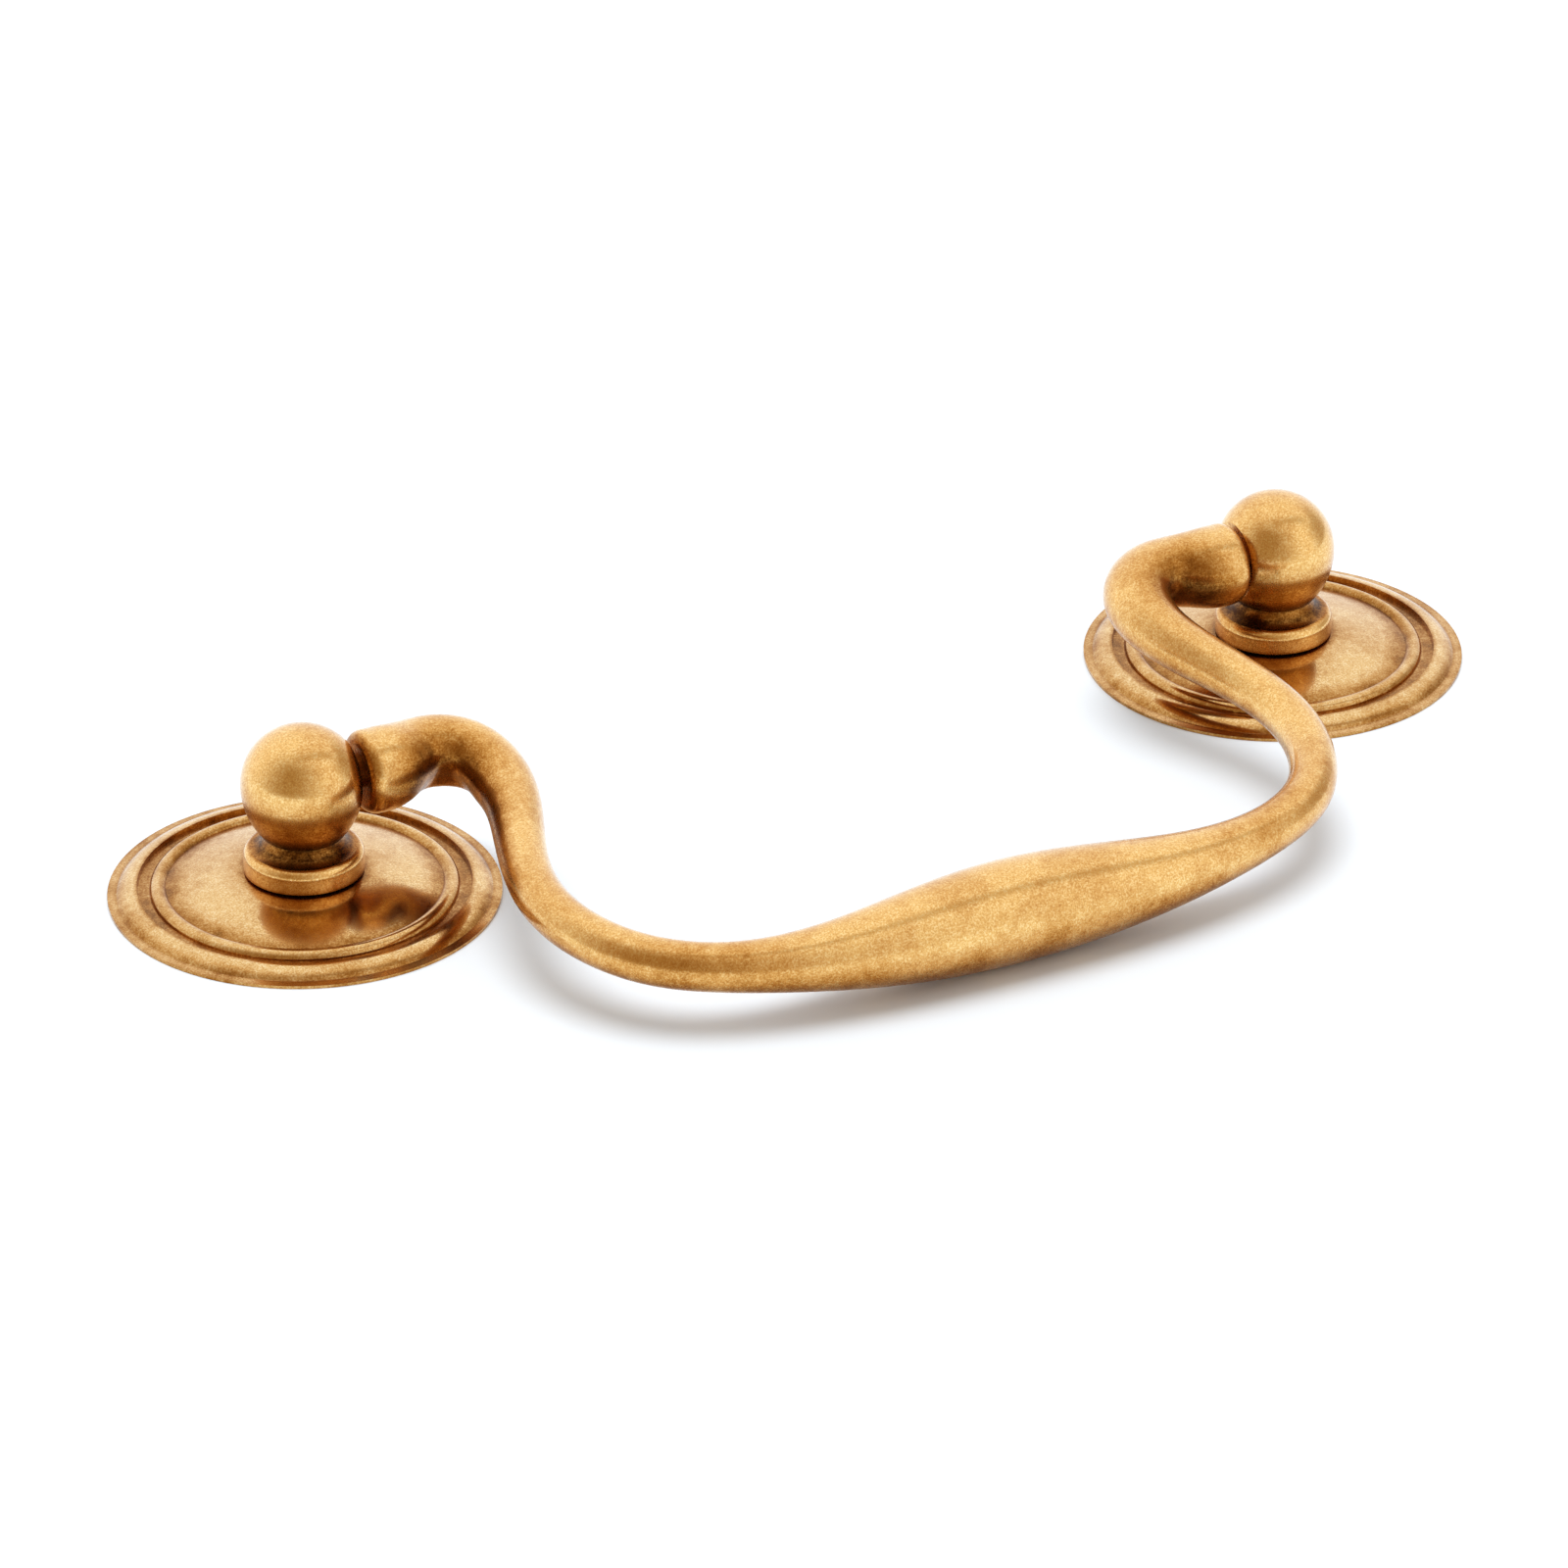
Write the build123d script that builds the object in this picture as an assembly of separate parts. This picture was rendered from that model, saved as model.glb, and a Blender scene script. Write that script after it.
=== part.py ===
"""Swan-neck drop pull: two rosettes, two ball-headed posts and one swinging bail.

Millimetres. The drawer front is z = 0, the fixing holes lie on X and the bail hangs towards -Y.
"""
import os
from math import asin, cos, degrees, pi, radians, sin, sqrt

from build123d import *

# Whole pull
hole_spacing = 96.0
pivot_z = 10.6

# Rosette: widths are counted inwards from the rim, heights from the drawer front
rosette_d = 34.0
rim_h = 0.28
flange_w = 0.8
flange_rise = 0.06
ovolo_w = 1.75
ovolo_h = 1.1
ovolo_bulge = 0.22
groove_w = 1.05
groove_draft = 0.1
groove_h = 0.68
bead_w = 1.45
bead_crest = 0.65
bead_h = 1.34
crease_h = 1.0
seat_z = 2.4
dome_bulge = 0.15

# Post: a turned collar, neck and ball
seat_r = 4.7
spigot_r = 3.5
spigot_clear = 0.05
collar_r = 5.24
collar_edge = 0.16
collar_h = 1.2
shoulder_w = 0.6
shoulder_h = 0.88
shoulder_round = 0.2
ledge_cove = 0.14
ring_w = 0.4
ring_h = 0.5
ring_cove = 0.08
foot_r = 3.75
foot_drop = 4.42
foot_w = 0.55
foot_h = 0.35
foot_round = 0.1
ball_r = 5.32
flat_x = 4.2
tap_r = 1.65
tap_depth = 8.0

# Pivot: the bail's pintles turn in the balls
pintle_r = 1.5
pintle_clear = 0.05
pintle_len = 2.6
bore_extra = 0.4
head_gap = 0.6

# Bail: its centre line lies in a plane through the pivot axis, but for the lifted bellies and heads
drop = 38.75
bow = 0.35
belly_r = 15.2
belly_in = 7.0
belly_lift = 1.4
neck_in = 11.15
neck_drop = 4.6
crook_r = 4.5
head_drop = 0.95
head_lift = 0.4
rest_gap = 0.05
arc_turns = (0, 45, 90)

# Bail thickness along that line
stem_r = 2.1
grip_r = 4.5
grip_half = 29.0
nape_r = 3.42
nape_len = 20.0
head_r = 3.7
head_len = 2.6
head_edge = 1.1
throat_cut = 0.33
throat_turn = 25.0
throat_spread = 75.0
throat_end = 7.0
section_points = 16
section_step = 1.2
cap_turns = (0, 30, 60, 90)

# Values that follow
post_x = hole_spacing / 2
head_x = post_x - flat_x - head_gap
head_root = head_x - head_len
belly_x = head_x - belly_in
crook_x = head_x - neck_in + crook_r
rest_tilt = degrees(asin((pivot_z - grip_r - rest_gap) / drop))


def rosette():
    """Stepped rosette: flange, ovolo, groove, bead and a shallow dome with a seat for the post."""
    rim_r = rosette_d / 2
    flange_r = rim_r - flange_w
    lip_r = flange_r - ovolo_w
    bead_r = lip_r - groove_w
    dome_r = bead_r - bead_w
    flange_h = rim_h + flange_rise
    bore_r = spigot_r + spigot_clear
    with BuildPart() as body:
        with BuildSketch(Plane.XZ):
            with BuildLine():
                Polyline((bore_r, 0), (rim_r, 0), (rim_r, rim_h), (flange_r, flange_h))
                ThreePointArc(
                    (flange_r, flange_h),
                    ((flange_r + lip_r) / 2, (flange_h + ovolo_h) / 2 + ovolo_bulge),
                    (lip_r, ovolo_h),
                )
                Polyline((lip_r, ovolo_h), (lip_r - groove_draft, groove_h), (bead_r, groove_h))
                ThreePointArc((bead_r, groove_h), (bead_r - bead_crest, bead_h), (dome_r, crease_h))
                ThreePointArc(
                    (dome_r, crease_h),
                    ((dome_r + seat_r) / 2, (crease_h + seat_z) / 2 + dome_bulge),
                    (seat_r, seat_z),
                )
                Polyline((seat_r, seat_z), (bore_r, seat_z), (bore_r, 0))
            make_face()
        revolve(axis=Axis.Z)
    return body.part


def turned_post():
    """Post as it leaves the lathe, on the Z axis."""
    band_z = seat_z + collar_edge
    shoulder_z = band_z + collar_h
    ledge_r = collar_r - shoulder_w
    ledge_z = shoulder_z + shoulder_h
    foot_z = pivot_z - foot_drop
    neck_r = foot_r - foot_w
    neck_z = foot_z - foot_h
    ring_r = neck_r + ring_w
    ring_z = ledge_z + ring_h
    slant_r = ball_r * sqrt(0.5)
    with BuildPart() as body:
        with BuildSketch(Plane.XZ):
            with BuildLine():
                Polyline((0, 0), (spigot_r, 0), (spigot_r, seat_z), (seat_r, seat_z), (collar_r, band_z))
                Line((collar_r, band_z), (collar_r, shoulder_z))
                SagittaArc((collar_r, shoulder_z), (ledge_r, ledge_z), -shoulder_round)
                SagittaArc((ledge_r, ledge_z), (ring_r, ring_z), ledge_cove)
                SagittaArc((ring_r, ring_z), (neck_r, neck_z), ring_cove)
                SagittaArc((neck_r, neck_z), (foot_r, foot_z), -foot_round)
                TangentArc((ball_r, pivot_z), (foot_r, foot_z), tangent=(0, -1))
                ThreePointArc((ball_r, pivot_z), (slant_r, pivot_z + slant_r), (0, pivot_z + ball_r))
                Line((0, pivot_z + ball_r), (0, 0))
            make_face()
        revolve(axis=Axis.Z)
    return body.part


def post(side):
    """Post at the left (side -1) or right (side 1) hole, its ball flat facing the bail."""
    shape = turned_post()
    shape -= Pos(-side * (flat_x + ball_r), 0, pivot_z) * Box(2 * ball_r, 4 * ball_r, 2 * ball_r)
    bore_len = pintle_len + bore_extra
    bore = Rot(0, 90, 0) * Cylinder(pintle_r + pintle_clear, bore_len)
    shape -= Pos(-side * (flat_x - bore_len / 2), 0, pivot_z) * bore
    shape -= Pos(0, 0, tap_depth / 2) * Cylinder(tap_r, tap_depth)
    return Pos(side * post_x, 0, 0) * shape


def bail_line():
    """Centre line of the bail's right half, from mid grip to head, flat in XY with the pivot on X."""
    turn_x = belly_x - belly_r
    turn_y = drop - belly_r
    neck_x = head_x - neck_in
    points = [(0, drop), (turn_x / 2, drop + bow)]
    for turn in arc_turns:
        points.append((turn_x + belly_r * sin(radians(turn)), turn_y + belly_r * cos(radians(turn))))
    points.append(((belly_x + neck_x) / 2, (turn_y + neck_drop) / 2))
    for turn in arc_turns:
        points.append((crook_x - crook_r * cos(radians(turn)), neck_drop - crook_r * sin(radians(turn))))
    points.append((head_root, head_drop))
    points.append((head_x - head_edge, head_drop))
    return Spline(*[(x, -y) for x, y in points], tangents=((1, 0), (1, 0)))


def eased(share):
    """Smooth step: 0 up to share 0, 1 from share 1 on."""
    share = min(max(share, 0), 1)
    return share * share * (3 - 2 * share)


def head_share(x):
    """0 along the tube, rising smoothly to 1 where the head has its full section."""
    return eased((x - crook_x) / (head_root - crook_x))


def tube_radius(x, y):
    """Bail radius at a point x out from the middle and y below the pivot axis."""
    grip = cos(pi / 2 * min(x / grip_half, 1)) ** 2
    nape = max(1 - y / nape_len, 0) ** 2
    tube = stem_r + grip * (grip_r - stem_r) + nape * (nape_r - stem_r)
    return tube + head_share(x) * (head_r - tube)


def tube_rise(x, y):
    """How far the same point of the centre line stands out of the bail's plane."""
    return belly_lift * (x / belly_x) ** 2 * (y / drop) ** 4 + head_lift * head_share(x)


def throat_share(x, y):
    """Share of the radius that the throat, under the head and inside the crook, is cut back by."""
    along = min(max((head_root - x) / (head_root - crook_x), 0), 1)
    return throat_cut * along * eased(1 - y / throat_end)


def section(radius, cut=0):
    """Closed outline: round, but for a throat on its lower front, cut back by a share of the radius."""
    points = []
    for i in range(section_points):
        turn = 360 * (i + 0.5) / section_points
        away = abs(turn - 90 - throat_turn) / throat_spread
        reach = radius * (1 - cut * cos(pi / 2 * min(away, 1)) ** 2)
        points.append((reach * cos(radians(turn)), reach * sin(radians(turn))))
    return make_face(Spline(*points, periodic=True))


def tube_sections():
    """Sections square to the centre line, close enough for the loft not to waver between them."""
    line = bail_line()
    count = round(line.length / section_step)
    sections = []
    for i in range(count + 1):
        point = line @ (i / count)
        x = point.X
        y = -point.Y
        middle = point + Vector(0, 0, tube_rise(x, y))
        plane = Plane(middle, x_dir=(0, 0, 1), z_dir=line % (i / count))
        sections.append(plane * section(tube_radius(x, y), throat_share(x, y)))
    return sections


def cap_sections():
    """Sections that round the head off to its flat end face."""
    rise = tube_rise(head_x - head_edge, head_drop)
    sections = []
    for turn in cap_turns:
        x = head_x - head_edge + head_edge * sin(radians(turn))
        radius = head_r - head_edge + head_edge * cos(radians(turn))
        plane = Plane((x, -head_drop, rise), x_dir=(0, 0, 1), z_dir=(1, 0, 0))
        sections.append(plane * section(radius))
    return sections


def skin(shape):
    """Curved faces of a loft, without its flat ends."""
    return shape.faces().filter_by(GeomType.PLANE, reverse=True)


def bail():
    """Bail cast in one piece with its pintles, laid on the drawer front."""
    tube = loft(tube_sections())
    cap = loft(cap_sections())
    half = skin(tube) + skin(cap) + [cap.faces().sort_by(Axis.X)[-1]]
    shape = Solid(Shell(half + [mirror(face, Plane.YZ) for face in half]))
    stub = pintle_len + head_gap + head_edge
    pintle = Pos(head_x - head_edge + stub / 2, 0, 0) * Rot(0, 90, 0) * Cylinder(pintle_r, stub)
    shape = shape + pintle + mirror(pintle, Plane.YZ)
    return Pos(0, 0, pivot_z) * Rot(rest_tilt, 0, 0) * shape


os.makedirs("parts", exist_ok=True)
flat_plate = rosette()
export_step(Pos(-post_x, 0, 0) * flat_plate, "parts/rosette_left.step")
export_step(Pos(post_x, 0, 0) * flat_plate, "parts/rosette_right.step")
export_step(post(-1), "parts/post_left.step")
export_step(post(1), "parts/post_right.step")
export_step(bail(), "parts/bail.step")
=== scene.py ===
"""Looks of the swan-neck drop pull: aged brass on a white floor, seen as in the photograph."""
from math import cos, radians, sin

import bpy
from mathutils import Matrix, Vector

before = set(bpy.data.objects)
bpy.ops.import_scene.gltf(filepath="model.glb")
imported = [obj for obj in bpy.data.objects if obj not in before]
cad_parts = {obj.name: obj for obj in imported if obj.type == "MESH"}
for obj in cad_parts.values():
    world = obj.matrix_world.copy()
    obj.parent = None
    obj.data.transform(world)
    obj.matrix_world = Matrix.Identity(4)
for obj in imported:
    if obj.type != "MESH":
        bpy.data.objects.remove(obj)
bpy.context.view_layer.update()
scene = bpy.context.scene
scene.view_settings.view_transform = "Standard"

# Camera, fitted to the rosettes, balls and bail of the photograph
camera_azimuth = radians(-27.43)
camera_elevation = radians(28.20)
camera_roll = radians(-0.128)
camera_place = (-0.35877, -0.68829, 0.41480)
camera_lens = 229.58
camera_sensor = 36
camera_near = 0.01

# Patina and painted shade run from 0, rubbed bright, to 1, almost black. Places are in metres
# Posts: patina and painted shade by height, as shares of post_h; painted shade under the collar's edge
# and in the neck, a painted dark reflection on the lower ball
post_h = 0.016
post_shade_and_patina_stops = [
    (0.15, 0.70), (0.18, 0.20), (0.228, 0.12), (0.240, 0.28), (0.252, 0.04), (0.280, 0.06),
    (0.294, 0.80), (0.316, 0.95), (0.324, 0.80), (0.345, 0.74), (0.362, 0.92), (0.39, 0.80),
    (0.42, 0.54), (0.50, 0.40), (0.58, 0.14), (0.66, 0.0),
]

# Rosettes: patina and painted shade by distance from the middle, as shares of rosette_r; painted shade
# around the collar
post_x = 0.048
rosette_r = 0.017
rosette_shade_and_patina_stops = [
    (0.30, 0.7), (0.35, 0.28), (0.45, 0.06), (0.58, 0.04), (0.62, 0.16), (0.66, 0.38),
    (0.70, 0.56), (0.72, 0.40), (0.745, 0.12), (0.77, 0.20), (0.80, 0.52), (0.845, 0.56),
    (0.87, 0.06), (0.905, 0.10), (0.94, 0.40), (0.957, 0.42), (0.972, 0.26), (1.0, 0.36),
]

# Bail: where each patch of painted shade fades, and its depth
crook_middle = (0.0365, -0.0045, 0.0095)
crook_reach = (0.002, 0.0071)
crook_shade = 0.72
stem_facing = (0.2, 0.85)
stem_run = (-0.026, -0.014)
stem_shade = 0.6
head_end = (0.0421, 0.0432)
head_end_shade = 0.4
belly_out = (0.014, 0.026)
belly_down = (-0.036, -0.029)
belly_shade = 0.18

# Every brass: painted shade on faces that look down
painted_shade_facing = (-0.4, 0.3)

# Grain of the brass: scale, detail and roughness of each noise
fine_grain = (6200, 2, 0.6)
middle_grain = (1300, 3, 0.6)
broad_grain = (170, 3, 0.55)
noise_middle = 0.5
fleck_fine = 0.8
fleck_middle = 0.2

# How the grain changes the patina and painted shade
broad_span = (0.38, 0.62)
broad_darkening = 0.14
broad_brightening = -0.06
mottle_by_shade_and_patina = 0.5
mottle_least = 0.16
speckle_by_shade_and_patina = 0.5

# Colours: bare brass by fleck, and what patina and painted shade multiply it by
gold_stops = [
    (0.34, (0.67, 0.345, 0.08)),
    (0.50, (0.84, 0.49, 0.14)),
    (0.64, (0.98, 0.70, 0.31)),
]
shade_and_patina_stops = [
    (0.0, (1.0, 1.0, 1.0)),
    (0.25, (0.80, 0.67, 0.50)),
    (0.55, (0.50, 0.33, 0.18)),
    (1.0, (0.07, 0.036, 0.02)),
]

# Polish: each brass has its own mean roughness, changed by flecks, patina and painted shade
fleck_span = (0.36, 0.64)
fleck_dulling = 0.07
fleck_polish = 0.05
shade_and_patina_dulling = 0.14
bump_strength = 0.2
bump_height = 0.00002
lacquer = 0.75
lacquer_fade = (0.05, 0.55)
lacquer_roughness = 0.15

# Each brass: mean roughness, painted shade underneath and tint
cast_rough = 0.22
cast_underside_shade = 0.36
turned_rough = 0.20
turned_underside_shade = 0.42
plate_rough = 0.115
plate_underside_shade = 0.0
plate_tint = (0.91, 0.98, 1.22)
no_tint = (1.0, 1.0, 1.0)

# Floor: slightly cool, against the warm light that the brass throws on it
floor_half = 6.0
floor_colour = (0.775, 0.84, 0.91, 1)

# Studio: a bright room with two dim walls, and a dim seam in its ceiling that draws the grip's soft line
room_bright = (1.0, 1.0, 1.0)
room_dim = (0.41, 0.30, 0.17)
room_strength = 1.12
wall_core = 0.1
near_wall = (-0.76, -0.65, 0)
near_width = 1.65
near_top = (0.75, 1.0)
near_depth = 1.0
near_top_depth = 0.35
far_wall = (1.0, -0.04, 0)
far_width = 0.75
far_top = (0.4, 0.7)
far_depth = 0.8
seam_across = (0, 0.968, 0.25)
seam_width = 0.2
seam_depth = 0.7
seam_rise = (0.5, 0.75)

# Overhead light
sun_energy = 1.65
sun_angle = radians(40)
sun_tilt = radians(-6)


def add_camera():
    """Camera at the photograph's place, angle and lens."""
    az, el, roll = camera_azimuth, camera_elevation, camera_roll
    back = Vector((sin(az) * cos(el), -cos(az) * cos(el), sin(el)))
    right = Vector((cos(az), sin(az), 0))
    up = back.cross(right)
    turned_right = cos(roll) * right + sin(roll) * up
    turned_up = cos(roll) * up - sin(roll) * right
    data = bpy.data.cameras.new("camera")
    data.sensor_width = camera_sensor
    data.lens = camera_lens
    data.clip_start = camera_near
    camera = bpy.data.objects.new("camera", data)
    scene.collection.objects.link(camera)
    turn = Matrix((turned_right, turned_up, back)).transposed()
    camera.matrix_world = Matrix.Translation(camera_place) @ turn.to_4x4()
    scene.camera = camera


class Nodes:
    """Shorthand for one node tree."""

    def __init__(self, tree):
        self.tree = tree
        tree.nodes.clear()

    def add(self, kind, **values):
        """New node with its properties set."""
        node = self.tree.nodes.new(kind)
        for name, value in values.items():
            setattr(node, name, value)
        return node

    def feed(self, target, value):
        """Links a socket to an input, or sets a plain value there."""
        if isinstance(value, bpy.types.NodeSocket):
            self.tree.links.new(value, target)
        else:
            target.default_value = value

    def math(self, operation, a, b=0.0, clamp=False):
        """One operation on two numbers."""
        node = self.add("ShaderNodeMath", operation=operation, use_clamp=clamp)
        self.feed(node.inputs[0], a)
        self.feed(node.inputs[1], b)
        return node.outputs[0]

    def vector(self, operation, a, b=None):
        """One operation on vectors: a distance and a dot product give a number."""
        node = self.add("ShaderNodeVectorMath", operation=operation)
        self.feed(node.inputs[0], a)
        if b is not None:
            self.feed(node.inputs[1], b)
        return node.outputs["Value" if operation in ("DISTANCE", "DOT_PRODUCT") else "Vector"]

    def axes(self, vector):
        """X, Y and Z of a vector."""
        node = self.add("ShaderNodeSeparateXYZ")
        self.feed(node.inputs[0], vector)
        return tuple(node.outputs)

    def noise(self, where, scale, detail, roughness):
        """Noise about noise_middle."""
        node = self.add("ShaderNodeTexNoise")
        self.feed(node.inputs["Vector"], where)
        self.feed(node.inputs["Scale"], scale)
        self.feed(node.inputs["Detail"], detail)
        self.feed(node.inputs["Roughness"], roughness)
        self.feed(node.inputs["Distortion"], 0.0)
        return node.outputs["Fac"]

    def ramp(self, factor, stops):
        """Straight runs between stops, each a place with a grey or a colour."""
        node = self.add("ShaderNodeValToRGB")
        ramp = node.color_ramp
        ramp.interpolation = "LINEAR"
        while len(ramp.elements) < len(stops):
            ramp.elements.new(1.0)
        for element, (place, colour) in zip(ramp.elements, stops):
            element.position = place
            element.color = (*colour, 1) if isinstance(colour, tuple) else (colour, colour, colour, 1)
        self.feed(node.inputs["Fac"], factor)
        return node.outputs["Color"]

    def span(self, value, low, high, to_low, to_high):
        """Smooth step from to_low, up to low, to to_high, from high on."""
        node = self.add("ShaderNodeMapRange", interpolation_type="SMOOTHSTEP")
        self.feed(node.inputs["Value"], value)
        self.feed(node.inputs["From Min"], low)
        self.feed(node.inputs["From Max"], high)
        self.feed(node.inputs["To Min"], to_low)
        self.feed(node.inputs["To Max"], to_high)
        return node.outputs["Result"]

    def mix(self, factor, a, b, blend="MIX"):
        """Two colours, mixed or multiplied."""
        node = self.add("ShaderNodeMix", data_type="RGBA", blend_type=blend)
        self.feed(node.inputs["Factor"], factor)
        for socket, value in ((node.inputs[6], a), (node.inputs[7], b)):
            self.feed(socket, (*value, 1) if isinstance(value, tuple) else value)
        return node.outputs[2]


def post_shade_and_patina(n, coords):
    """Patina and painted shade of a post by its height: both deep in the neck, painted shade under the
    collar's edge, thinner on the collar, and a thinner painted dark reflection under the ball.
    """
    height = n.axes(coords["Object"])[2]
    return n.ramp(n.math("DIVIDE", height, post_h), post_shade_and_patina_stops)


def rosette_shade_and_patina(n, coords):
    """Patina and painted shade of a rosette by its radius: painted shade around the collar, patina and
    painted shade in creases and groove, and patina on the rim.
    """
    x, y, _ = n.axes(coords["Object"])
    across = n.math("SUBTRACT", n.math("ABSOLUTE", x), post_x)
    squared = n.math("ADD", n.math("MULTIPLY", across, across), n.math("MULTIPLY", y, y))
    return n.ramp(n.math("DIVIDE", n.math("SQRT", squared), rosette_r), rosette_shade_and_patina_stops)


def bail_painted_shade(n, coords):
    """Painted shade on the bail: in the crooks, on the stems' sides, on the heads' ends and on the
    bellies.
    """
    x, y, z = n.axes(coords["Object"])
    side = n.math("ABSOLUTE", x)
    mirrored = n.add("ShaderNodeCombineXYZ")
    for socket, value in zip(mirrored.inputs, (side, y, z)):
        n.feed(socket, value)
    away = n.vector("DISTANCE", mirrored.outputs[0], crook_middle)
    # Painted shade in the crooks, on the stems' inner sides, on the heads' ends and on the bellies' bends
    crook = n.span(away, *crook_reach, crook_shade, 0.0)
    outward = n.math("MULTIPLY", n.axes(coords["Normal"])[0], n.math("SIGN", x))
    stem_side = n.span(outward, *stem_facing, 0.0, stem_shade)
    stem = n.math("MULTIPLY", stem_side, n.span(y, *stem_run, 0.0, 1.0))
    head = n.span(side, *head_end, 0.0, head_end_shade)
    belly_bend = n.span(side, *belly_out, 0.0, belly_shade)
    belly = n.math("MULTIPLY", belly_bend, n.span(y, *belly_down, 1.0, 0.0))
    return n.math("MAXIMUM", n.math("MAXIMUM", crook, stem), n.math("MAXIMUM", head, belly))


def brass(name, shade_and_patina_of, rough, underside_shade, tint):
    """Aged, burnished brass under a thin lacquer: gold flecks, soft mottling, brown patina and painted
    shade.
    """
    material = bpy.data.materials.new(name)
    material.use_nodes = True
    n = Nodes(material.node_tree)
    coords = n.add("ShaderNodeTexCoord").outputs
    fine = n.noise(coords["Object"], *fine_grain)
    middle = n.noise(coords["Object"], *middle_grain)
    broad = n.noise(coords["Object"], *broad_grain)
    flecks = n.math("ADD", n.math("MULTIPLY", fine, fleck_fine), n.math("MULTIPLY", middle, fleck_middle))

    # Painted shade on faces that look down, then joined with each part's patina and painted shade
    painted_underside_shade = n.span(n.axes(coords["Normal"])[2], *painted_shade_facing, underside_shade, 0.0)
    patina_and_shade = n.math("MAXIMUM", shade_and_patina_of(n, coords), painted_underside_shade)
    patina_and_shade = n.math("ADD", patina_and_shade, n.span(broad, *broad_span, broad_darkening, broad_brightening))
    mottle_depth = n.math("ADD", n.math("MULTIPLY", patina_and_shade, mottle_by_shade_and_patina), mottle_least)
    mottle = n.math("MULTIPLY", n.math("SUBTRACT", noise_middle, middle), mottle_depth)
    speckle_depth = n.math("MULTIPLY", patina_and_shade, speckle_by_shade_and_patina)
    speckle = n.math("MULTIPLY", n.math("SUBTRACT", noise_middle, fine), speckle_depth)
    patina_and_shade = n.math("ADD", n.math("ADD", patina_and_shade, mottle), speckle, clamp=True)

    gold = n.mix(1.0, n.ramp(flecks, gold_stops), tint, "MULTIPLY")
    # Patina and painted shade darken the gold
    colour = n.mix(1.0, gold, n.ramp(patina_and_shade, shade_and_patina_stops), "MULTIPLY")
    polish = n.span(flecks, *fleck_span, rough + fleck_dulling, rough - fleck_polish)
    roughness = n.math("ADD", polish, n.math("MULTIPLY", patina_and_shade, shade_and_patina_dulling))
    bump = n.add("ShaderNodeBump")
    n.feed(bump.inputs["Strength"], bump_strength)
    n.feed(bump.inputs["Distance"], bump_height)
    n.feed(bump.inputs["Height"], flecks)

    shader = n.add("ShaderNodeBsdfPrincipled")
    n.feed(shader.inputs["Base Color"], colour)
    n.feed(shader.inputs["Metallic"], 1.0)
    n.feed(shader.inputs["Roughness"], roughness)
    n.feed(shader.inputs["Normal"], bump.outputs["Normal"])
    n.feed(shader.inputs["Coat Weight"], n.span(patina_and_shade, *lacquer_fade, lacquer, 0.0))
    n.feed(shader.inputs["Coat Roughness"], lacquer_roughness)
    n.feed(n.add("ShaderNodeOutputMaterial").inputs["Surface"], shader.outputs[0])
    return material


def dress(node, material):
    """Puts one material on a CAD node."""
    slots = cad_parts[node].data.materials
    slots.clear()
    slots.append(material)


def add_floor():
    """White floor that keeps the pull's shadow."""
    mesh = bpy.data.meshes.new("floor")
    corners = [(x * floor_half, y * floor_half, 0) for x, y in ((-1, -1), (1, -1), (1, 1), (-1, 1))]
    mesh.from_pydata(corners, [], [(0, 1, 2, 3)])
    floor = bpy.data.objects.new("floor", mesh)
    scene.collection.objects.link(floor)
    material = bpy.data.materials.new("white_floor")
    material.use_nodes = True
    n = Nodes(material.node_tree)
    diffuse = n.add("ShaderNodeBsdfDiffuse")
    n.feed(diffuse.inputs["Color"], floor_colour)
    n.feed(n.add("ShaderNodeOutputMaterial").inputs["Surface"], diffuse.outputs[0])
    mesh.materials.append(material)


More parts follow.
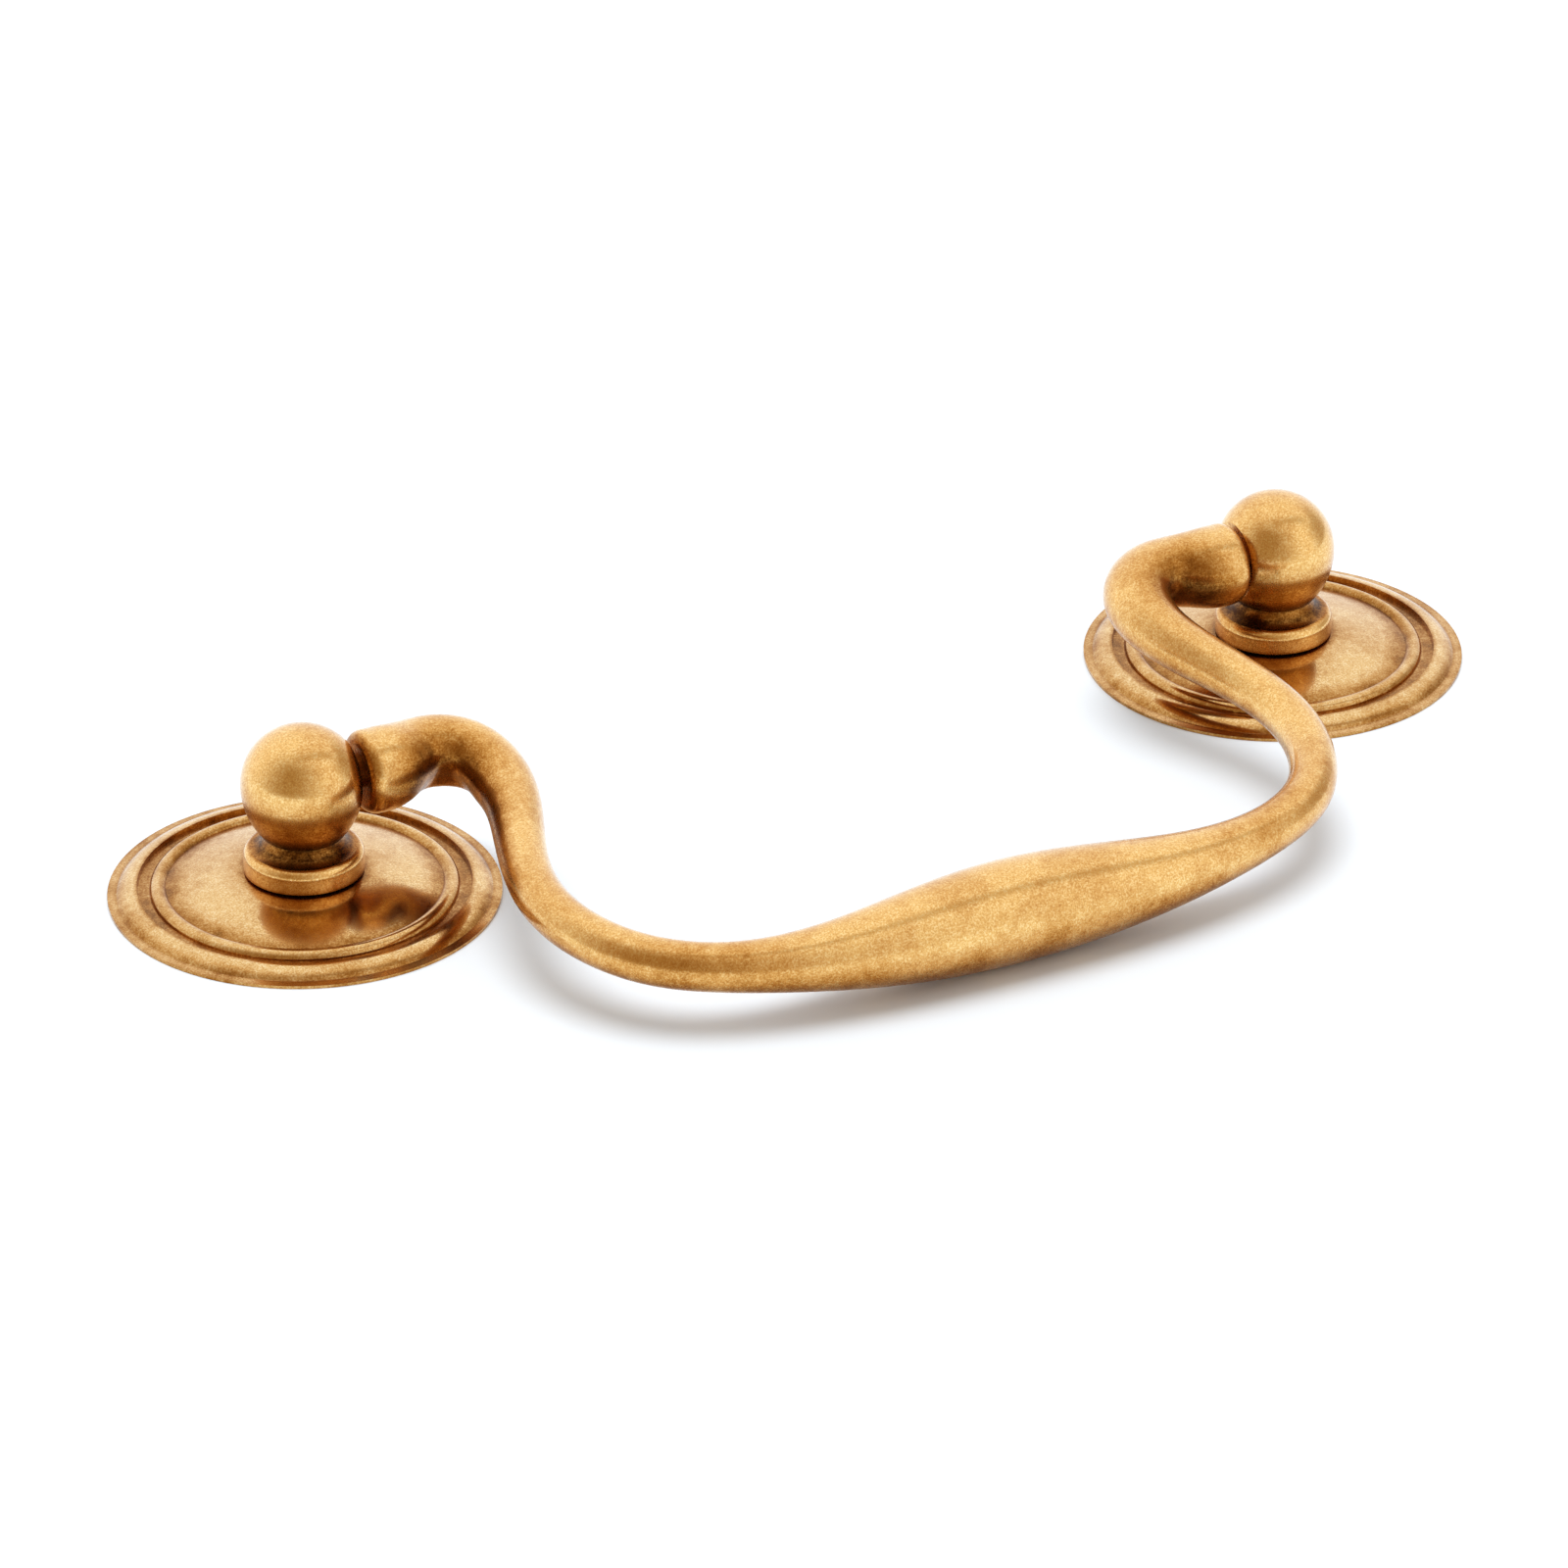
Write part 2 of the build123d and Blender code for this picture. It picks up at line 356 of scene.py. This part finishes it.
def add_world():
    """Soft studio: bright, but for a warm dim wall near left, one far right and a seam overhead."""
    world = bpy.data.worlds.new("studio")
    scene.world = world
    world.use_nodes = True
    n = Nodes(world.node_tree)
    way = n.add("ShaderNodeTexCoord").outputs["Generated"]
    height = n.axes(way)[2]
    heading = n.vector("NORMALIZE", n.vector("MULTIPLY", way, (1, 1, 0)))

    def wall(direction, half_width):
        """1 along one compass direction, falling to 0 at half_width radians to either side."""
        along = n.vector("DOT_PRODUCT", heading, Vector(direction).normalized())
        return n.span(n.math("ARCCOSINE", along), wall_core, half_width, 1.0, 0.0)

    near = n.span(height, *near_top, near_depth, near_top_depth)
    near = n.math("MULTIPLY", wall(near_wall, near_width), near)
    far = n.span(height, *far_top, far_depth, 0.0)
    far = n.math("MULTIPLY", wall(far_wall, far_width), far)
    off_seam = n.math("ABSOLUTE", n.vector("DOT_PRODUCT", way, seam_across))
    seam = n.span(off_seam, 0.0, seam_width, seam_depth, 0.0)
    seam = n.math("MULTIPLY", seam, n.span(height, *seam_rise, 0.0, 1.0))
    dim = n.math("MAXIMUM", n.math("MAXIMUM", near, far), seam)
    light = n.add("ShaderNodeBackground")
    n.feed(light.inputs["Color"], n.mix(dim, room_bright, room_dim))
    n.feed(light.inputs["Strength"], room_strength)
    n.feed(n.add("ShaderNodeOutputWorld").inputs["Surface"], light.outputs[0])


def add_lamp():
    """Overhead soft light that throws the shadow."""
    data = bpy.data.lights.new("overhead", "SUN")
    data.energy = sun_energy
    data.angle = sun_angle
    lamp = bpy.data.objects.new("overhead", data)
    lamp.rotation_euler = (sun_tilt, 0, 0)
    lamp.visible_glossy = False
    scene.collection.objects.link(lamp)


add_camera()
add_floor()
add_world()
add_lamp()
cast = brass("cast_brass", bail_painted_shade, cast_rough, cast_underside_shade, no_tint)
turned = brass("turned_brass", post_shade_and_patina, turned_rough, turned_underside_shade, no_tint)
plate = brass("plate_brass", rosette_shade_and_patina, plate_rough, plate_underside_shade, plate_tint)
dress("bail", cast)
for side in ("left", "right"):
    dress("post_" + side, turned)
    dress("rosette_" + side, plate)
